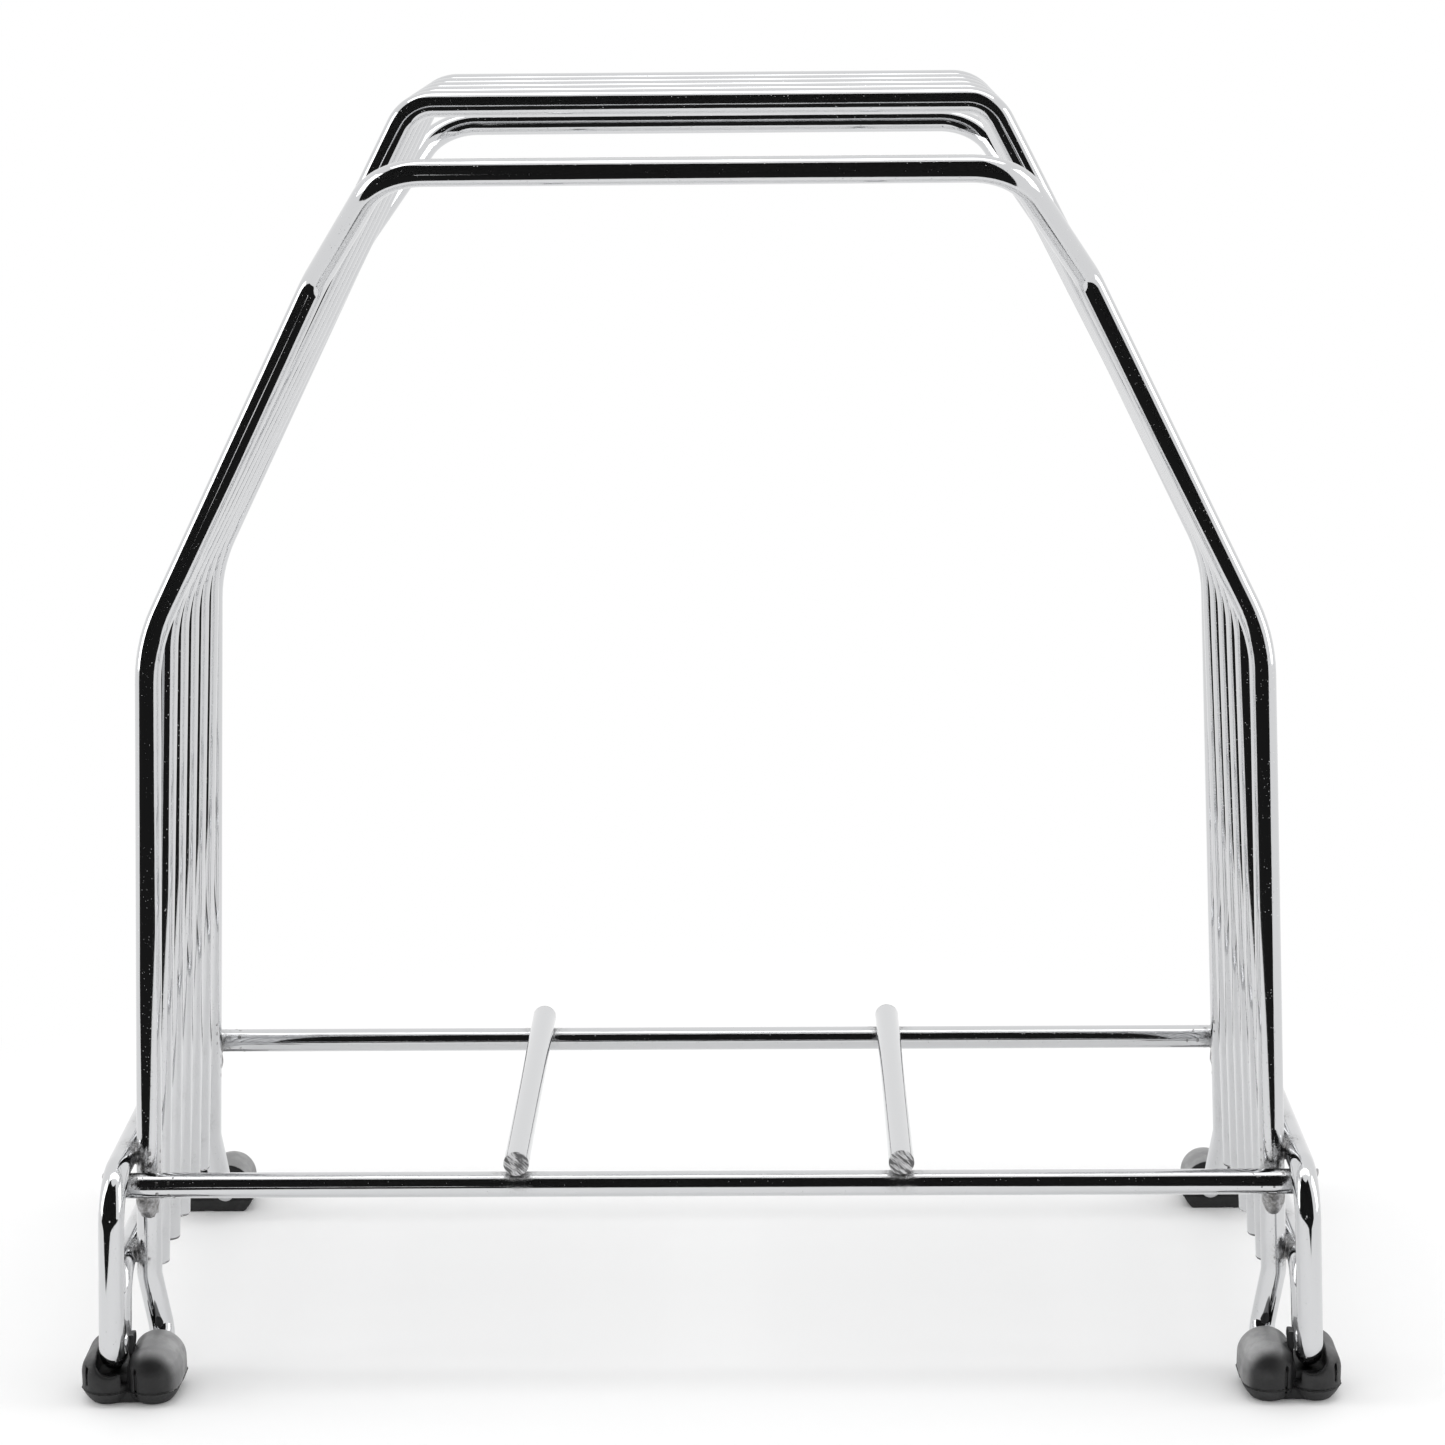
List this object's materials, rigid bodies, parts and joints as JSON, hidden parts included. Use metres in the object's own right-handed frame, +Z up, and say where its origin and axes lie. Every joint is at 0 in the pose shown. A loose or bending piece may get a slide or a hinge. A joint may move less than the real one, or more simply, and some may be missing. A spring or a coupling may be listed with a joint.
{
  "type": "desk file rack",
  "caption": "Free-standing chromed wire rack: a row of bent arches holds files upright on two wire runners between side loops with rubber shoes.",
  "frame": {"origin": "middle of the base, on the desk, under the middle of the rack", "axes": "+X to the rack's right side as seen from the front, +Y to the back, +Z up"},
  "size_m": [0.2984, 0.1554, 0.3037],
  "materials": {
    "chromed_wire": "bright chrome plate on drawn steel wire, with faint pits and rough welds",
    "black_rubber": "matt moulded rubber with a moulding line"
  },
  "bodies": {
    "root": {"front_arch": "chromed_wire", "divider_arch_1": "chromed_wire", "divider_arch_2": "chromed_wire", "divider_arch_3": "chromed_wire", "divider_arch_4": "chromed_wire", "divider_arch_5": "chromed_wire", "rear_arch": "chromed_wire", "left_side_loop": "chromed_wire", "right_side_loop": "chromed_wire", "front_cross_wire": "chromed_wire", "rear_cross_wire": "chromed_wire", "left_runner": "chromed_wire", "right_runner": "chromed_wire", "front_left_shoe": "black_rubber", "front_right_shoe": "black_rubber", "rear_left_shoe": "black_rubber", "rear_right_shoe": "black_rubber"}
  },
  "joints": []
}
